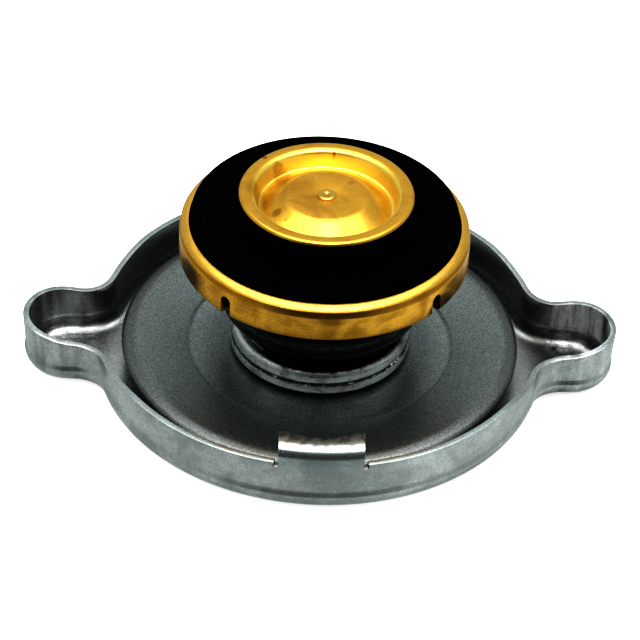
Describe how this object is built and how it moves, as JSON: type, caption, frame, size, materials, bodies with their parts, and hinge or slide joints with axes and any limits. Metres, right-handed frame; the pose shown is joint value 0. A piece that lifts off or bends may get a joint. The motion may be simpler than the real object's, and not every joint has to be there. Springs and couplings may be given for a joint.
{
  "type": "radiator cap",
  "caption": "Pressed-steel radiator pressure cap with two hollow finger ears, cam tabs, spring housing, rubber pressure seal in a brass ring and brass vacuum valve.",
  "frame": {"origin": "centre of the crown's outer face, on the cap's axis; the cap stands on its crown with the valve up", "axes": "+Z along the cap's axis from the crown to the valve, +X through one finger ear, +Y through one cam tab"},
  "size_m": [0.09, 0.068, 0.0325],
  "materials": {
    "plated_steel": "dull plated, drawn sheet",
    "dark_spring_steel": "satin dark spring sheet",
    "rivet_steel": "dull plated",
    "housing_steel": "bright, scratched",
    "spring_wire": "plain wire",
    "cup_steel": "plain drawn sheet",
    "plate_brass": "plain rolled sheet",
    "bush_brass": "plain turned",
    "retainer_brass": "rolled, tarnished in patches",
    "black_rubber": "matte",
    "dish_brass": "bright stamped, fine radial scratches",
    "stem_brass": "bright peened head",
    "fine_spring_wire": "plain wire",
    "keeper_brass": "plain"
  },
  "bodies": {
    "base": {"shell": "plated_steel", "friction_disc": "dark_spring_steel", "centre_rivet": "rivet_steel"},
    "housing": {"spring_housing": "housing_steel", "pressure_spring": "spring_wire"},
    "pressure": {"guide_cup": "cup_steel", "pressure_plate": "plate_brass", "guide_bush": "bush_brass", "seal_retainer": "retainer_brass", "pressure_seal": "black_rubber", "vacuum_spring": "fine_spring_wire"},
    "vacuum": {"vacuum_dish": "dish_brass", "vacuum_stem": "stem_brass", "spring_keeper": "keeper_brass"}
  },
  "joints": [
    {"name": "valve_swivel", "type": "hinge", "parent": "base", "child": "housing", "pos_m": [0, 0, 0], "axis": [0, 0, 1], "continuous": true},
    {"name": "pressure_valve", "type": "slide", "parent": "housing", "child": "pressure", "axis": [0, 0, -1], "range_m": [0, 0.0025], "stiffness_N_per_m": 2400, "springref_m": -0.0015, "deforming": ["pressure_spring"]},
    {"name": "vacuum_valve", "type": "slide", "parent": "pressure", "child": "vacuum", "axis": [0, 0, 1], "range_m": [0, 0.0016], "stiffness_N_per_m": 60, "springref_m": -0.002, "deforming": ["vacuum_spring"]}
  ]
}
